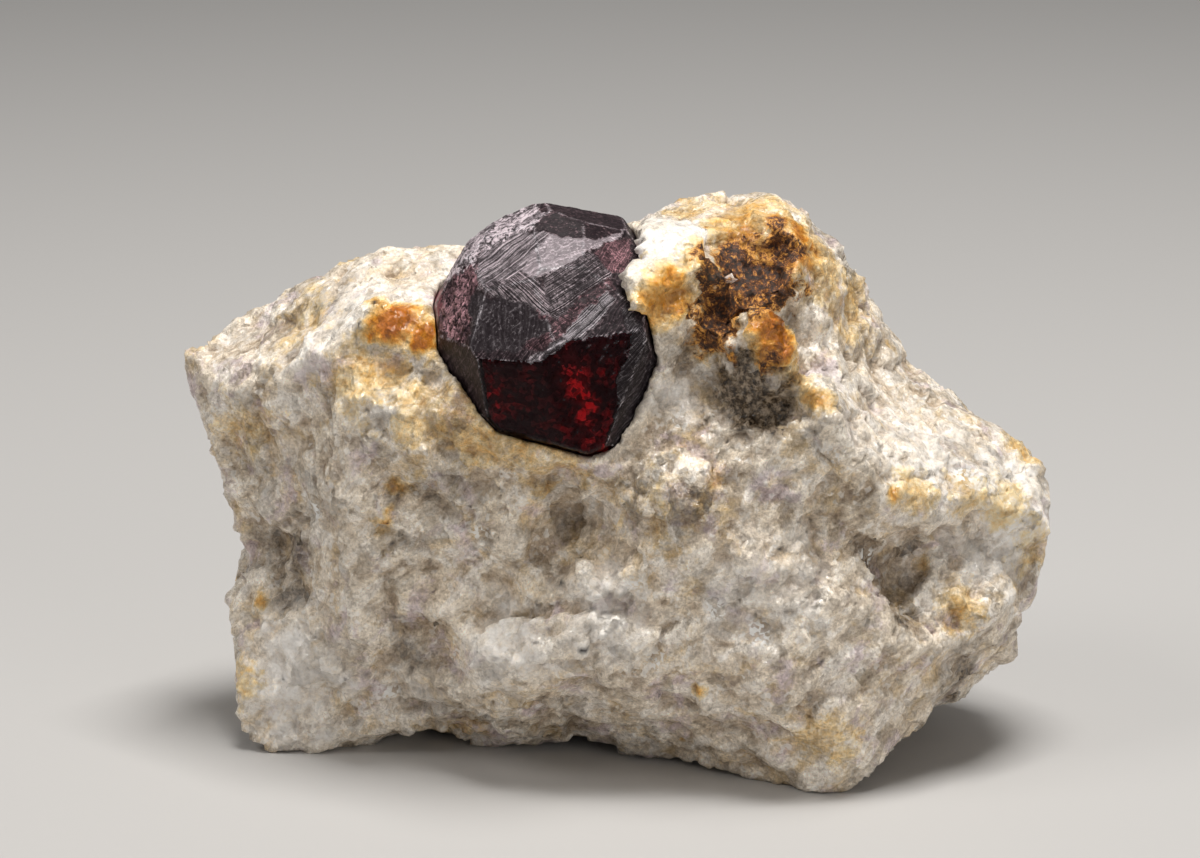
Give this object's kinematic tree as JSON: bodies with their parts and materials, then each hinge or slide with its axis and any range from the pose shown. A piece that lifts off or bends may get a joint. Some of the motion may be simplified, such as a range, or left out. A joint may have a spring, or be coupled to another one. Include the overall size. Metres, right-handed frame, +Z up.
{
  "type": "garnet in matrix",
  "caption": "Dark red garnet crystal seated in the top of a broken block of white feldspar and quartz, standing on its rough base.",
  "frame": {"origin": "on the floor, under the middle of the specimen's bounding box", "axes": "+X along the rock's length, to the right of someone facing the crystal; +Y to the back; +Z up; the crystal faces -Y"},
  "size_m": [0.0694, 0.0342, 0.0459],
  "materials": {
    "feldspar": "rough broken stone, cream and grey-white with rust stains",
    "garnet": "dark red glassy crystal with satin growth faces"
  },
  "bodies": {
    "root": {"matrix": "feldspar", "garnet_crystal": "garnet"}
  },
  "joints": []
}
